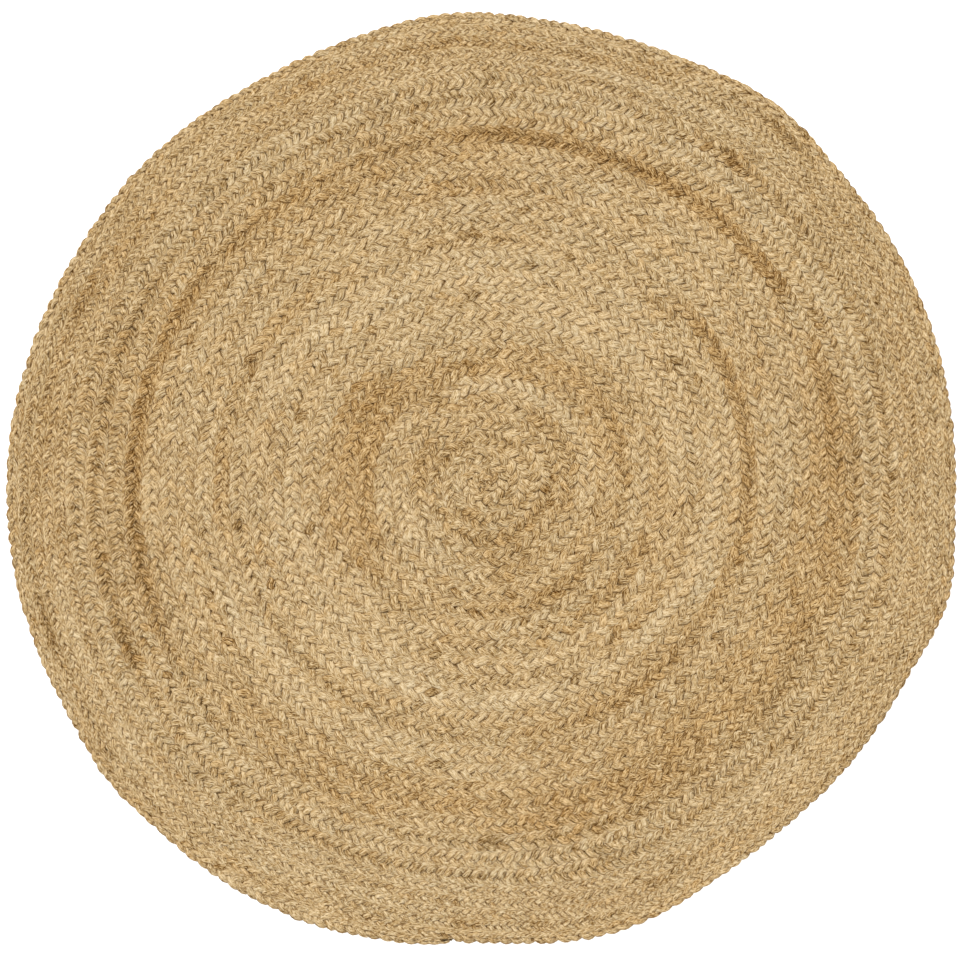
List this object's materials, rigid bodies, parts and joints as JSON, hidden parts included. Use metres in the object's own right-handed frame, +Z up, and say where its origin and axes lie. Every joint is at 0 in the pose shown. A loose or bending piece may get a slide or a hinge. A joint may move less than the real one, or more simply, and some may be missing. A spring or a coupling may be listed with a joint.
{
  "type": "round braided jute rug",
  "caption": "Round flat rug of natural jute: one braid coiled from the centre, sewn edge to edge, with an uneven rim and a tucked tail.",
  "frame": {"origin": "centre of the coil on the flat underside, where the rug rests on the floor", "axes": "+Z up out of the rug's top, +Y towards the top of the rug as seen from above, +X to its right; the coil winds outwards counterclockwise seen from +Z and its tail ends near bearing 266 degrees from +X"},
  "size_m": [1.2125, 1.1892, 0.009],
  "materials": {
    "jute": "matte natural fibre"
  },
  "bodies": {
    "root": {"braided_rug": "jute"}
  },
  "joints": []
}
